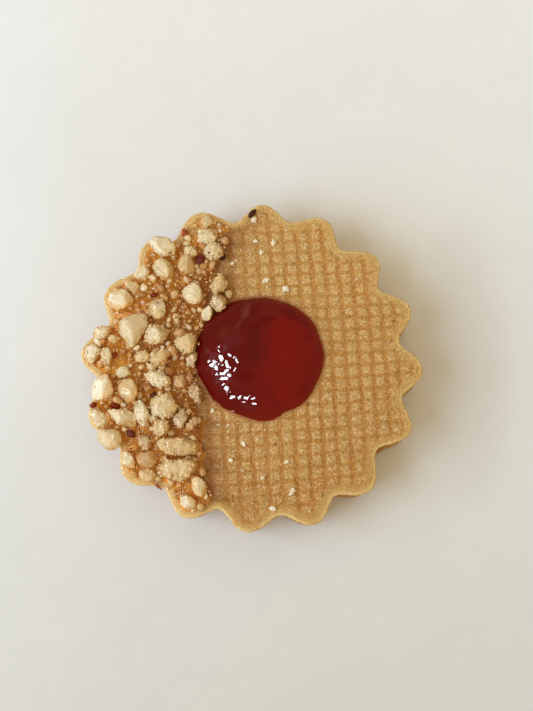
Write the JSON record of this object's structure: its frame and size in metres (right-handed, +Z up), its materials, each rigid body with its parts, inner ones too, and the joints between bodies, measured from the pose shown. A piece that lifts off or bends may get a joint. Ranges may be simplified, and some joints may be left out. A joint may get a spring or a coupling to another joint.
{
  "type": "linzer cookie",
  "caption": "Scalloped linzer sandwich cookie with a waffle-imprinted top, a drop of red jam in the middle and a glazed crescent of chopped nuts along one side.",
  "frame": {"origin": "middle of the footprint on the cookie's flat underside", "axes": "+Z up out of the waffle-imprinted face, -X towards the nut crescent, +Y along the flat to the far rim"},
  "size_m": [0.0664, 0.0652, 0.0128],
  "materials": {
    "biscuit": "dry baked shortbread, pale golden brown with a sandy grain, paler at the rim",
    "biscuit_browned": "dry baked shortbread, a little browner, sandy grain",
    "jam": "glossy dark red seedless jam with wet highlights",
    "glazed_nuts": "cream chopped nuts with brown skin flecks in a clear amber sugar glaze"
  },
  "bodies": {
    "root": {"lower_biscuit": "biscuit_browned", "filling": "jam", "upper_biscuit": "biscuit", "jam_drop": "jam", "nut_crescent": "glazed_nuts"}
  },
  "joints": []
}
